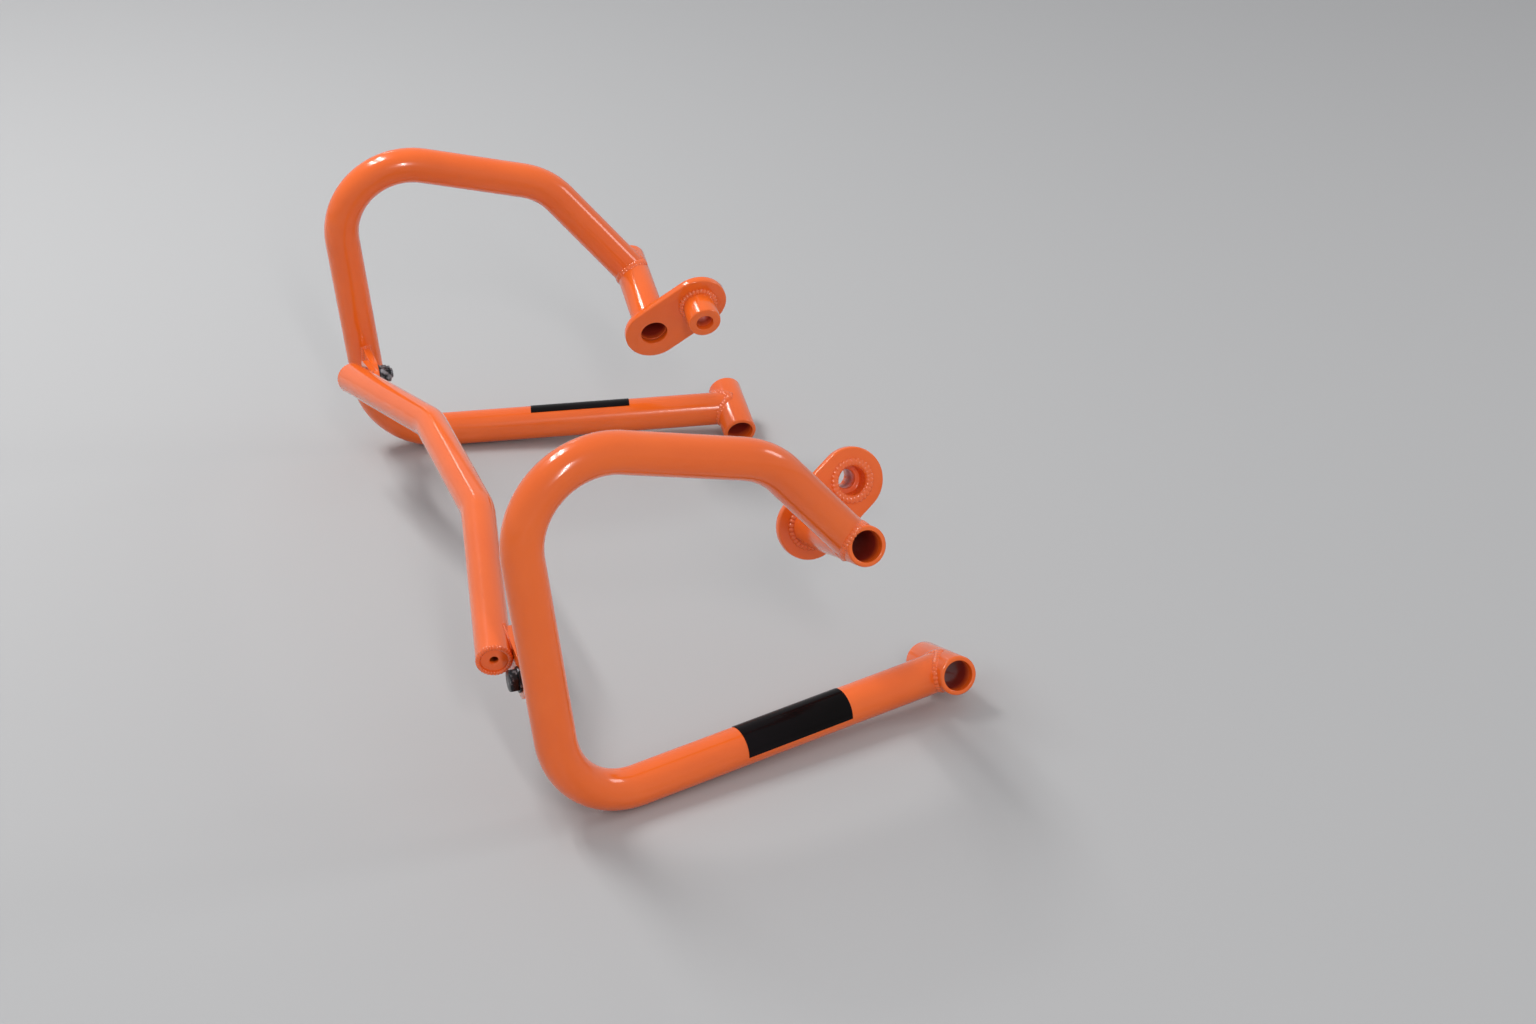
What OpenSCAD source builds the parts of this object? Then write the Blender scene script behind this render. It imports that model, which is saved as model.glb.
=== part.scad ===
// Pair of bent-tube engine guards joined at the front by a cross brace.
// Vehicle axes: +X forward, +Y to the rider's left, +Z up, millimetres.
// The assembly stands on the floor (z = 0) as two mirror-image guards.
// Each guard rests on its lower front bend and on the inner end of its lower sleeve.
// Only the left (+Y) side is drawn: the right side is its mirror image in the plane y = 0.

/* [Tube] */
// Outside diameter of the guard tube and the sleeves
tube_od = 25.4; // [23:0.1:27]
// Wall of the bent guard tube
guard_wall = 2.5; // [1.5:0.1:3.5]
// Centreline radius of every bend, one bending die
bend_radius = 50.8; // [45:0.1:56]
// Chamfer on the outer rims of the sleeves and the boss
edge_break = 0.8; // [0.3:0.1:1.2]
// Outside diameter of the thinner cross brace tube
brace_od = 22.2; // [20:0.1:24]
// Wall of the cross brace tube
brace_wall = 2.0; // [1.5:0.1:3]

/* [Guard shape] */
// Forward position of the lower front bend corner
low_front_x = 121.2; // [115:0.1:125]
// Half width at the lower front bend corner
low_front_y = 278; // [270:0.5:286]
// Forward position of the top front bend corner
top_front_x = 146.1; // [140:0.1:150]
// Half width at the top front bend corner
top_front_y = 264; // [258:0.5:272]
// Height of the top front bend corner
top_front_z = 246.5; // [240:0.5:252]
// Forward position of the top rear bend corner
top_rear_x = -12.4; // [-20:0.1:-8]
// Half width at the top rear bend corner
top_rear_y = 252; // [246:0.5:258]
// Height of the top rear bend corner
top_rear_z = 207.3; // [200:0.1:214]

/* [Sleeves] */
// Tilt of the sleeve axes, outer end up, because the guards stand splayed
sleeve_tilt = 17; // [12:0.5:22]
// Turn of the sleeve axes, outer end to the rear
sleeve_toe = 4; // [0:0.5:8]
// Bore of the upper and lower sleeves
sleeve_bore = 19.4; // [16:0.1:20]
// Forward position of the lower rail joint on the lower sleeve axis
low_joint_x = -144.4; // [-150:0.1:-140]
// Half width at the lower rail joint
low_joint_y = 214; // [208:0.5:220]
// Lower sleeve length outboard of the joint
low_sleeve_out = 21.7; // [20:0.1:28]
// Lower sleeve length inboard of the joint
low_sleeve_in = 30; // [24:0.1:36]
// Forward position of the diagonal tube joint on the upper sleeve axis
up_joint_x = -74.1; // [-80:0.1:-70]
// Half width at the diagonal tube joint
up_joint_y = 235; // [230:0.5:240]
// Height of the diagonal tube joint
up_joint_z = 134.8; // [130:0.1:140]
// Upper sleeve length outboard of the joint
up_sleeve_out = 18.3; // [17:0.1:26]
// Upper sleeve length from the joint to the mount plate
up_sleeve_in = 68; // [55:0.5:80]

/* [Mount plate] */
// Thickness of the two-lobe mount plate
plate_t = 6; // [4:0.5:8]
// Radius of both lobes
lobe_r = 21.6; // [19:0.1:24]
// Distance between the two lobe centres
lobe_pitch = 39.5; // [36:0.1:44]
// Angle of the upper lobe above straight rearward
lobe_angle = 36.5; // [25:0.5:50]
// Outside diameter of the counterbored boss
boss_od = 24; // [23:0.1:26]
// Length of the boss from the plate's outer face
boss_len = 28; // [22:0.5:36]
// Bolt bore of the boss, for an M12 screw
boss_bore = 12.5; // [10:0.1:13.5]
// Counterbore of the boss, for the screw head
boss_cbore = 18.7; // [16:0.1:19.5]
// Depth of the counterbore
boss_cbore_depth = 10; // [5:0.5:14]

/* [Cross brace] */
// Forward position of the brace end
brace_end_x = 147.6; // [146:0.1:149]
// Half width to the brace end face
brace_end_y = 219; // [215:0.5:221]
// Height of the brace end
brace_end_z = 86.3; // [84:0.1:89]
// Forward position of the brace bend corner
brace_mid_x = 120.5; // [114:0.1:125]
// Half width of the brace bend corner
brace_mid_y = 70; // [62:0.5:78]
// Height of the straight middle of the brace
brace_mid_z = 110.8; // [105:0.1:116]
// Thickness of the end cap
cap_t = 3; // [2:0.5:5]
// Vent hole in the end cap
cap_vent = 5; // [3:0.5:6]

/* [Brace joint] */
// Thickness of each bolted lug
lug_t = 5; // [4:0.5:6]
// Radius of the round lug end
lug_r = 12; // [10.5:0.5:13]
// Radius of the two corners at the lug's welded end
lug_corner = 5; // [3:0.5:8]
// Distance from the brace end face out to the joint bolt
joint_out = 15; // [14:0.5:17]
// Distance from the brace end down to the joint bolt
joint_drop = 6.8; // [4:0.1:9]
// Joint bolt thread diameter
bolt_d = 8; // [6:1:8]
// Extra diameter of the bolt hole
bolt_clearance = 1; // [0.4:0.1:1.5]

/* [Label] */
// Length of the plain label on the lower rail
label_len = 76; // [50:1:90]
// Part of the tube's round that the label covers, in degrees
label_wrap = 126; // [90:1:150]
// Middle of the label, in degrees above straight outboard
label_centre = 57; // [40:1:70]
// Distance from the rear joint to the label
label_gap = 79; // [50:1:100]
// Label thickness
label_t = 0.3; // [0.2:0.01:0.5]

/* [Weld] */
// Leg of the weld fillet on the mount plate
weld_leg = 3.5; // [2:0.1:5]
// Half width of the low weld beads on flat joints
bead_r = 1.4; // [1:0.1:1.6]

/* [Hidden] */
$fn = 96;
tube_r = tube_od / 2;
sleeve_r = tube_od / 2;
// Straights are thicker than bends by seam_step and run into them by seam_lap
seam_step = 0.01;
seam_lap = 0.5;
// How far a cut runs past the surface it cuts
through = 1;
straight_r = tube_r + seam_step;
brace_r = brace_od / 2;
cap_r = brace_r - brace_wall + seam_step;

// Sleeve axis, pointing outboard
sleeve_dir = [
    -cos(sleeve_tilt) * sin(sleeve_toe),
    cos(sleeve_tilt) * cos(sleeve_toe),
    sin(sleeve_tilt)
];

// Unit vector along v
function unit(v) = v / norm(v);
// Angle in degrees between two directions
function angle_between(a, b) = acos(max(-1, min(1, unit(a) * unit(b))));
// Length from a bend's corner to where its arc starts
function tangent_len(a, v, b, r) = r * tan(angle_between(v - a, b - v) / 2);

// The lower sleeve touches the floor where its inner chamfer starts
low_joint_z = sleeve_r * cos(sleeve_tilt) + (low_sleeve_in - edge_break) * sin(sleeve_tilt);
low_joint = [low_joint_x, low_joint_y, low_joint_z];
top_front = [top_front_x, top_front_y, top_front_z];
top_rear = [top_rear_x, top_rear_y, top_rear_z];
up_joint = [up_joint_x, up_joint_y, up_joint_z];

// Corner height that makes the underside of the lower front bend touch the floor.
// The rail slopes a little, so each pass corrects the height found before it.
function corner(z) = [low_front_x, low_front_y, z];
function rail_slope(z) =
    asin((low_joint_z - z) / norm(corner(z) - low_joint));
function corner_height(z, n) =
    n == 0 ? z :
    corner_height(
        tube_r + bend_radius * (1 - cos(rail_slope(z)))
        - tangent_len(low_joint, corner(z), top_front, bend_radius)
        * sin(rail_slope(z)),
        n - 1);
low_front = corner(corner_height(tube_r, 8));

// Ends of the sleeves on their axes
low_sleeve_outer = low_joint + sleeve_dir * low_sleeve_out;
low_sleeve_inner = low_joint - sleeve_dir * low_sleeve_in;
up_sleeve_outer = up_joint + sleeve_dir * up_sleeve_out;
up_sleeve_inner = up_joint - sleeve_dir * up_sleeve_in;

// Directions in the plane of the mount plate
plate_fore = unit(cross(sleeve_dir, [0, 0, 1]));
plate_up = cross(plate_fore, sleeve_dir);
boss_centre = up_sleeve_inner
    + lobe_pitch * (-cos(lobe_angle) * plate_fore + sin(lobe_angle) * plate_up);

brace_end = [brace_end_x, brace_end_y, brace_end_z];
brace_mid = [brace_mid_x, brace_mid_y, brace_mid_z];
brace_mid_far = [brace_mid_x, -brace_mid_y, brace_mid_z];
brace_end_far = [brace_end_x, -brace_end_y, brace_end_z];
brace_out = unit(brace_end - brace_mid);

// The two lugs meet behind the brace, its own lug let a little into the tube
lug_seat = 0.2;
joint_x = brace_end_x - brace_r - lug_seat - lug_t;
joint_y = brace_end_y + joint_out;
joint_z = brace_end_z - joint_drop;

hole_d = bolt_d + bolt_clearance;
washer_od = 2 * bolt_d;
washer_t = 1.6;
washer_clearance = 0.4;
hex_flats = bolt_d * 13 / 8;
head_h = bolt_d * 0.66;
nut_h = bolt_d;
nut_hex_h = 0.7 * nut_h;
nut_collar_od = hex_flats - 0.15 * bolt_d;
thread_past_nut = 2;
hex_corner = hex_flats / cos(30);
hex_chamfer = 0.08 * bolt_d;

orange = [0.86, 0.36, 0.14];
black = [0.05, 0.05, 0.055];
dark_zinc = [0.16, 0.16, 0.17];

// Moves a shape drawn up the local z axis so that it starts at p and runs along dir,
// with its local x axis as near to hint as it can be
module along(p, dir, hint) {
    w = unit(dir);
    v = unit(cross(w, hint));
    u = cross(v, w);
    multmatrix([
        [u[0], v[0], w[0], p[0]],
        [u[1], v[1], w[1], p[1]],
        [u[2], v[2], w[2], p[2]],
        [0, 0, 0, 1]
    ]) children();
}

// Solid round bar from a to b
module bar(a, b, r) {
    along(a, b - a, [0.3, 0.2, 0.9])
        cylinder(h = norm(b - a), r = r);
}

// One bend of a bar of radius r at corner v between a and b
module bend(a, v, b, r) {
    d1 = unit(v - a);
    d2 = unit(b - v);
    n = unit(d2 - d1 * (d1 * d2));
    turn = angle_between(d1, d2);
    start = v - d1 * tangent_len(a, v, b, bend_radius);
    along(start + n * bend_radius, cross(d1, n), -n)
        rotate_extrude(angle = turn)
            translate([bend_radius, 0])
                circle(r = r);
}

// Straight run of a bar of radius r from p to q.
// It is a hair thicker than the bends and runs a little into them, so they join cleanly.
module straight(p, q, r, into_p, into_q) {
    dir = unit(q - p);
    bar(p - dir * into_p, q + dir * into_q, r + seam_step);
}

// Guard centreline as a solid bar of radius r, both ends grown by extra
module guard_run(r, extra) {
    t1 = tangent_len(low_joint, low_front, top_front, bend_radius);
    t2 = tangent_len(low_front, top_front, top_rear, bend_radius);
    t3 = tangent_len(top_front, top_rear, up_joint, bend_radius);
    d0 = unit(low_front - low_joint);
    d1 = unit(top_front - low_front);
    d2 = unit(top_rear - top_front);
    d3 = unit(up_joint - top_rear);
    straight(low_joint, low_front - d0 * t1, r, extra, seam_lap);
    bend(low_joint, low_front, top_front, r);
    straight(low_front + d1 * t1, top_front - d1 * t2, r, seam_lap, seam_lap);
    bend(low_front, top_front, top_rear, r);
    straight(top_front + d2 * t2, top_rear - d2 * t3, r, seam_lap, seam_lap);
    bend(top_front, top_rear, up_joint, r);
    straight(top_rear + d3 * t3, up_joint, r, seam_lap, extra);
}

// Bent guard tube, both ends coped to sit on the sleeves
module guard_tube() {
    difference() {
        guard_run(tube_r, 0);
        guard_run(tube_r - guard_wall, tube_od);
        bar(low_joint - sleeve_dir * tube_od * 2, low_joint + sleeve_dir * tube_od * 2, sleeve_r);
        bar(up_joint - sleeve_dir * tube_od * 2, up_joint + sleeve_dir * tube_od * 2, sleeve_r);
    }
}

// Round bar from a to b whose rim at b, and at a if both is true, has a chamfer
module chamfered_bar(a, b, r, both) {
    len = norm(b - a);
    along(a, b - a, [0.3, 0.2, 0.9])
        rotate_extrude()
            polygon(concat(
                [[0, 0]],
                both ? [[r - edge_break, 0], [r, edge_break]] : [[r, 0]],
                [[r, len - edge_break], [r - edge_break, len], [0, len]]
            ));
}

// Cross tube of a guard that takes the engine bolt and its spacer
module sleeve(inner, outer, both) {
    difference() {
        chamfered_bar(inner, outer, sleeve_r, both);
        bar(inner - sleeve_dir * through, outer + sleeve_dir * through, sleeve_bore / 2);
    }
}

// Two-lobe plate on the inner end of the upper sleeve
module mount_plate() {
    along(up_sleeve_inner - sleeve_dir * plate_t, sleeve_dir, boss_centre - up_sleeve_inner)
        linear_extrude(plate_t)
            difference() {
                union() {
                    circle(r = lobe_r);
                    translate([lobe_pitch, 0])
                        circle(r = lobe_r);
                    translate([0, -lobe_r])
                        square([lobe_pitch, 2 * lobe_r]);
                }
                circle(d = sleeve_bore);
                translate([lobe_pitch, 0])
                    circle(d = boss_od);
            }
}

// Counterbored boss let through the upper lobe, flush with the plate's outer face
module step_boss() {
    difference() {
        chamfered_bar(boss_centre, boss_centre - sleeve_dir * boss_len, boss_od / 2, false);
        bar(boss_centre + sleeve_dir * through,
            boss_centre - sleeve_dir * (boss_len + through), boss_bore / 2);
        bar(boss_centre + sleeve_dir * through,
            boss_centre - sleeve_dir * boss_cbore_depth, boss_cbore / 2);
    }
}

// Round fillet of weld between a round bar of radius r and the plane it stands on
module fillet_ring(p, dir, r, leg) {
    along(p, dir, [0.3, 0.2, 0.9])
        rotate_extrude()
            intersection() {
                translate([r, 0])
                    square(leg);
                translate([r, 0])
                    circle(r = leg);
            }
}

// Low half-round bead over a circular joint between two flush faces
module flush_bead(p, dir, r) {
    along(p, dir, [0.3, 0.2, 0.9])
        rotate_extrude()
            intersection() {
                translate([r - bead_r, 0])
                    square([2 * bead_r, bead_r]);
                translate([r, 0])
                    circle(r = bead_r);
            }
}

// Weld around the sleeve and around both ends of the boss hole
module plate_welds() {
    fillet_ring(up_sleeve_inner, sleeve_dir, sleeve_r, weld_leg);
    flush_bead(boss_centre, sleeve_dir, boss_od / 2);
    fillet_ring(boss_centre - sleeve_dir * plate_t, -sleeve_dir, boss_od / 2, weld_leg);
}

// Lug with a round end at p and a square end with rounded corners at q,
// in the plane x = x0, with the bolt hole at p
module lug_blank(x0, p, q) {
    len = norm(q - p);
    inset = lug_r - lug_corner;
    along([x0, p[0], p[1]], [1, 0, 0], [0, q[0] - p[0], q[1] - p[1]])
        linear_extrude(lug_t)
            difference() {
                union() {
                    circle(r = lug_r);
                    translate([0, -lug_r])
                        square([len - lug_corner, 2 * lug_r]);
                    translate([0, -inset])
                        square([len, 2 * inset]);
                    translate([len - lug_corner, -inset])
                        circle(r = lug_corner);
                    translate([len - lug_corner, inset])
                        circle(r = lug_corner);
                }
                circle(d = hole_d);
            }
}

// Lug on the inner side of the upright, behind the joint plane
module guard_lug() {
    rise = (joint_z - low_front[2]) / (top_front[2] - low_front[2]);
    upright = low_front + (top_front - low_front) * rise;
    difference() {
        lug_blank(joint_x - lug_t, [joint_y, joint_z], [upright[1], joint_z]);
        bar(low_front, top_front, straight_r);
    }
}

// Lug on the rear of the brace end, in front of the joint plane
module brace_lug() {
    difference() {
        lug_blank(joint_x, [joint_y, joint_z], [brace_end_y - 2 * lug_r, brace_end_z]);
        bar(brace_mid, brace_end + brace_out * brace_od, brace_r + seam_step);
    }
}

// Brace centreline as a solid bar of radius r, both ends grown by extra
module brace_run(r, extra) {
    t = tangent_len(brace_end, brace_mid, brace_mid_far, bend_radius);
    out_far = unit(brace_end_far - brace_mid_far);
    straight(brace_end, brace_mid + brace_out * t, r, extra, seam_lap);
    bend(brace_end, brace_mid, brace_mid_far, r);
    straight([brace_mid_x, brace_mid_y - t, brace_mid_z],
        [brace_mid_x, t - brace_mid_y, brace_mid_z], r, seam_lap, seam_lap);
    bend(brace_mid, brace_mid_far, brace_end_far, r);
    straight(brace_mid_far + out_far * t, brace_end_far, r, seam_lap, extra);
}

// Cross brace bent twice, cut square at both ends
module brace_tube() {
    color(orange)
        difference() {
            brace_run(brace_r, 0);
            brace_run(brace_r - brace_wall, through);
        }
}

// Disc let into the brace end, with a vent hole
module brace_cap() {
    difference() {
        bar(brace_end, brace_end - brace_out * cap_t, cap_r);
        bar(brace_end + brace_out * through,
            brace_end - brace_out * (cap_t + through), cap_vent / 2);
    }
}

// Hexagon prism with its corners chamfered at the end away from the start
module hex_body(h) {
    intersection() {
        cylinder(h = h, d = hex_corner, $fn = 6);
        union() {
            cylinder(h = h - hex_chamfer, d = hex_corner + through);
            translate([0, 0, h - hex_chamfer])
                cylinder(h = hex_chamfer, d1 = hex_corner, d2 = hex_flats - hex_chamfer);
        }
    }
}

// Hex bolt from the front, through both lugs
module joint_bolt() {
    front = joint_x + lug_t + washer_t;
    grip = 2 * lug_t + 2 * washer_t;
    along([front, joint_y, joint_z], [1, 0, 0], [0, 0, 1])
        hex_body(head_h);
    bar([front, joint_y, joint_z],
        [front - grip - nut_h - thread_past_nut, joint_y, joint_z], bolt_d / 2);
}

module joint_washer(x) {
    along([x, joint_y, joint_z], [1, 0, 0], [0, 0, 1])
        difference() {
            cylinder(h = washer_t, d = washer_od);
            translate([0, 0, -through])
                cylinder(h = washer_t + 2 * through, d = bolt_d + washer_clearance);
        }
}

// Self-locking nut: a hexagon with a round collar that holds the nylon ring
module joint_nut() {
    along([joint_x - lug_t - washer_t, joint_y, joint_z], [-1, 0, 0], [0, 0, 1])
        difference() {
            union() {
                hex_body(nut_hex_h);
                cylinder(h = nut_h, d = nut_collar_od);
            }
            translate([0, 0, -through])
                cylinder(h = nut_h + 2 * through, d = bolt_d);
        }
}

// Plain wrap label on the outer upper side of the lower rail
module label() {
    dir = unit(low_front - low_joint);
    outboard = unit([0, 1, 0] - dir * dir[1]);
    rail_up = cross(dir, outboard);
    first = label_centre - label_wrap / 2;
    start_dir = cos(first) * outboard + sin(first) * rail_up;
    along(low_joint + dir * label_gap, dir, start_dir)
        rotate_extrude(angle = label_wrap)
            translate([straight_r, 0])
                square([label_t, label_len]);
}

module right() {
    mirror([0, 1, 0]) children();
}

module left_guard_tube() { color(orange) guard_tube(); }
module left_lower_sleeve() { color(orange) sleeve(low_sleeve_inner, low_sleeve_outer, true); }
module left_upper_sleeve() { color(orange) sleeve(up_sleeve_inner, up_sleeve_outer, false); }
module left_mount_plate() { color(orange) mount_plate(); }
module left_step_boss() { color(orange) step_boss(); }
module left_guard_lug() { color(orange) guard_lug(); }
module left_plate_welds() { color(orange) plate_welds(); }
module left_label() { color(black) label(); }
module right_guard_tube() { color(orange) right() guard_tube(); }
module right_lower_sleeve() { color(orange) right() sleeve(low_sleeve_inner, low_sleeve_outer, true); }
module right_upper_sleeve() { color(orange) right() sleeve(up_sleeve_inner, up_sleeve_outer, false); }
module right_mount_plate() { color(orange) right() mount_plate(); }
module right_step_boss() { color(orange) right() step_boss(); }
module right_guard_lug() { color(orange) right() guard_lug(); }
module right_plate_welds() { color(orange) right() plate_welds(); }
module right_label() { color(black) right() label(); }
module left_brace_cap() { color(orange) brace_cap(); }
module right_brace_cap() { color(orange) right() brace_cap(); }
module left_brace_lug() { color(orange) brace_lug(); }
module right_brace_lug() { color(orange) right() brace_lug(); }
module brace_cap_welds() {
    color(orange) {
        flush_bead(brace_end, brace_out, cap_r);
        right() flush_bead(brace_end, brace_out, cap_r);
    }
}
module joint_bolts() {
    color(dark_zinc) {
        joint_bolt();
        right() joint_bolt();
    }
}
module joint_washers() {
    color(dark_zinc) {
        joint_washer(joint_x + lug_t);
        joint_washer(joint_x - lug_t - washer_t);
        right() joint_washer(joint_x + lug_t);
        right() joint_washer(joint_x - lug_t - washer_t);
    }
}
module joint_nuts() {
    color(dark_zinc) {
        joint_nut();
        right() joint_nut();
    }
}

left_guard_tube();
left_lower_sleeve();
left_upper_sleeve();
left_mount_plate();
left_step_boss();
left_guard_lug();
left_plate_welds();
left_label();
right_guard_tube();
right_lower_sleeve();
right_upper_sleeve();
right_mount_plate();
right_step_boss();
right_guard_lug();
right_plate_welds();
right_label();
brace_tube();
left_brace_cap();
right_brace_cap();
left_brace_lug();
right_brace_lug();
brace_cap_welds();
joint_bolts();
joint_washers();
joint_nuts();
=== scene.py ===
# %% [markdown]
# # A pair of engine guards and their cross brace
#
# Two bent steel tubes stand on the floor, mirror images of each other, as they would
# sit on either side of a motorcycle's engine.  A thinner tube joins them at the front.
# The steel is welded, then covered all over with gloss orange powder coat.
#
# The solids come from the CAD model.  This lesson gives them what the real ones have
# on their surface: the coat, its rounded edges, the weld beads, the bolts and the labels.

# %% Load the CAD model as the frame
from math import atan2, cos, degrees, pi, radians, sin, sqrt

import bpy
from mathutils import Matrix, Vector


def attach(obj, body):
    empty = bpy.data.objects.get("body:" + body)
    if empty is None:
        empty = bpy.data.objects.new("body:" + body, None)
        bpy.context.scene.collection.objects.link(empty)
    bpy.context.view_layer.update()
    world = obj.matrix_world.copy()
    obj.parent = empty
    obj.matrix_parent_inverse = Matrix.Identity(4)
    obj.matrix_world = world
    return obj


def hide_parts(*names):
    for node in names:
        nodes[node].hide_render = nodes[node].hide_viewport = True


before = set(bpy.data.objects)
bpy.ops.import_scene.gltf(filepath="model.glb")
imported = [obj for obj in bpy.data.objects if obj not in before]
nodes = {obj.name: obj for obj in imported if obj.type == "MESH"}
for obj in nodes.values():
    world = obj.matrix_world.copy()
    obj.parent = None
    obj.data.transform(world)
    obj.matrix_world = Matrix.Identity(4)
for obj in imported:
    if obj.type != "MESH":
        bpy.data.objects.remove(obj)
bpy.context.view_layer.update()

MM = 0.001
print("CAD nodes:", len(nodes))

# %% [markdown]
# ## The camera
#
# The photograph was taken standing, a little in front of the left guard, with a short
# telephoto lens.  A camera could be placed by eye.  Here its place was worked out from
# the edges of the tubes, so the script only states it: where it stands, and which way
# its right side, its top and its back point.  The frame is 1536 by 1024 pixels.

# %% Camera
CAMERA_PLACE = Vector((0.42384, 1.50559, 0.84506))
CAMERA_RIGHT = Vector((-0.94412, 0.32958, -0.00152))
CAMERA_UP = Vector((-0.15006, -0.42573, 0.89232))
CAMERA_BACK = Vector((0.29345, 0.84269, 0.45140))
FOCAL_LENGTH, SENSOR_WIDTH = 59.69, 36.0  # millimetres

lens = bpy.data.cameras.new("camera")
lens.sensor_width = SENSOR_WIDTH
lens.lens = FOCAL_LENGTH
camera = bpy.data.objects.new("camera", lens)
turn = Matrix((CAMERA_RIGHT, CAMERA_UP, CAMERA_BACK)).transposed().to_4x4()
camera.matrix_world = Matrix.Translation(CAMERA_PLACE) @ turn
bpy.context.scene.collection.objects.link(camera)
bpy.context.scene.camera = camera
print("lens", round(lens.lens, 2), "mm")

# %% [markdown]
# ## Floor
#
# The guards stand on a plain pale floor, a wide plane with a dull paint.  A curved
# backdrop would do as well, but the floor alone fills the camera's view.

# %% Helper: put one object on its own
def alone(piece):
    """Select one object and nothing else, so that an operator acts on it only."""
    if bpy.context.object and bpy.context.object.mode != "OBJECT":
        bpy.ops.object.mode_set(mode="OBJECT")
    bpy.ops.object.select_all(action="DESELECT")
    piece.select_set(True)
    bpy.context.view_layer.objects.active = piece
    return piece


# %% Floor
FLOOR_WIDTH = 12.0
FLOOR_GREY, FLOOR_ROUGHNESS = (0.45, 0.45, 0.45, 1), 0.85

alone(nodes["brace_tube"]).select_set(False)
bpy.ops.mesh.primitive_plane_add(size=FLOOR_WIDTH, location=(0, 0, 0))
floor = bpy.context.object
floor.name = "floor"

floor_paint = bpy.data.materials.new("floor paint")
floor_paint.use_nodes = True
floor_shader = floor_paint.node_tree.nodes["Principled BSDF"]
floor_shader.inputs["Base Color"].default_value = FLOOR_GREY
floor_shader.inputs["Roughness"].default_value = FLOOR_ROUGHNESS
floor.data.materials.append(floor_paint)
print("floor:", FLOOR_WIDTH, "m wide")

# %% [markdown]
# ## Light
#
# In the photograph the light is soft, and thin pale streaks lie along each bend: two
# near its top and one lower down.  A gloss coat shows the shape of its lamps.  Lamps
# could be moved about until the streaks look right.  Here their directions were found
# from the streaks: the surface's slope there turns the camera's ray into the lamp's.
# So long thin lamps hang level: two side by side behind the guards, one farther back,
# and one behind the camera.  A small soft lamp at the side draws the streak on the far
# guard's diagonal.  The room itself is a plain pale white that fills the shadows.

# %% Helper: lamps
def hang_lamp(name, place, aim, width, length, watts, roll=0.0):
    """An area lamp at place that shines at aim, turned by roll degrees about its beam."""
    lamp = bpy.data.lights.new(name, "AREA")
    lamp.shape = "RECTANGLE"
    lamp.size, lamp.size_y = width, length
    lamp.energy = watts
    holder = bpy.data.objects.new(name, lamp)
    beam = (Vector(aim) - Vector(place)).normalized()
    facing = beam.to_track_quat("-Z", "Y").to_matrix().to_4x4()
    holder.matrix_world = (Matrix.Translation(Vector(place)) @ facing
                           @ Matrix.Rotation(radians(roll), 4, "Z"))
    bpy.context.scene.collection.objects.link(holder)


def hang_tube(name, start, end, width, watts):
    """A long thin lamp that hangs level between two points and shines down."""
    start, end = Vector(start), Vector(end)
    middle = (start + end) / 2
    heading = degrees(atan2(start.x - end.x, end.y - start.y))
    hang_lamp(name, middle, middle - Vector((0, 0, 1)), width,
              (end - start).length, watts, heading)


# %% Lamps
TUBE_HEIGHT = 1.75
TUBE_LAMPS = (  # name, the two ends seen from above, width, watts
    ("tube behind, inner", (0.62, -0.30), (0.62, -1.45), 0.13, 13),
    ("tube behind, outer", (0.88, -0.30), (0.88, -1.45), 0.13, 13),
    ("tube far behind", (0.10, -2.30), (0.10, -4.60), 0.09, 5),
    ("tube before", (0.26, 1.94), (0.26, 4.06), 0.14, 42),
)
for name, start, end, width, watts in TUBE_LAMPS:
    hang_tube(name, (*start, TUBE_HEIGHT), (*end, TUBE_HEIGHT), width, watts)

SIDE_LAMP_PLACE, SIDE_LAMP_AIM = (-1.92, 0.31, 1.19), (-0.04, -0.24, 0.17)
SIDE_LAMP_WIDTH, SIDE_LAMP_LENGTH, SIDE_LAMP_WATTS = 0.50, 0.60, 5
hang_lamp("lamp at the side", SIDE_LAMP_PLACE, SIDE_LAMP_AIM,
          SIDE_LAMP_WIDTH, SIDE_LAMP_LENGTH, SIDE_LAMP_WATTS)

# %% Room
ROOM_WHITE, ROOM_STRENGTH = (0.96, 0.97, 1.0, 1), 0.56

room = bpy.data.worlds.new("room")
room.use_nodes = True
room.node_tree.nodes["Background"].inputs["Color"].default_value = ROOM_WHITE
room.node_tree.nodes["Background"].inputs["Strength"].default_value = ROOM_STRENGTH
bpy.context.scene.world = room
bpy.context.scene.view_settings.view_transform = "Standard"
print("room strength:", ROOM_STRENGTH)

# %% [markdown]
# ## The film of powder
#
# Powder coat is melted plastic.  It is glossy, flows round every edge, and sets with a
# faint ripple called orange peel.  Where the film is thicker its colour is a little
# deeper.  Real surfaces also hold a few specks of dust.  These effects could be drawn
# again in every material.  Several materials need them, so each effect is a node group,
# built once.

# %% Helper: a node group with named sockets
def effect_group(name, inputs, outputs):
    """An empty shader node group with the given (name, kind, value) sockets."""
    group = bpy.data.node_groups.new(name, "ShaderNodeTree")
    for label, kind, value in inputs:
        socket = group.interface.new_socket(name=label, in_out="INPUT", socket_type=kind)
        if value is not None:
            socket.default_value = value
    for label, kind in outputs:
        group.interface.new_socket(name=label, in_out="OUTPUT", socket_type=kind)
    return group, group.nodes.new("NodeGroupInput"), group.nodes.new("NodeGroupOutput")


# %% Helper: arithmetic on numbers and vectors
def feed(tree, socket, value):
    """Give an input socket a number, a vector or a colour, or link another socket to it."""
    if isinstance(value, bpy.types.NodeSocket):
        tree.links.new(value, socket)
    else:
        socket.default_value = value


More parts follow.
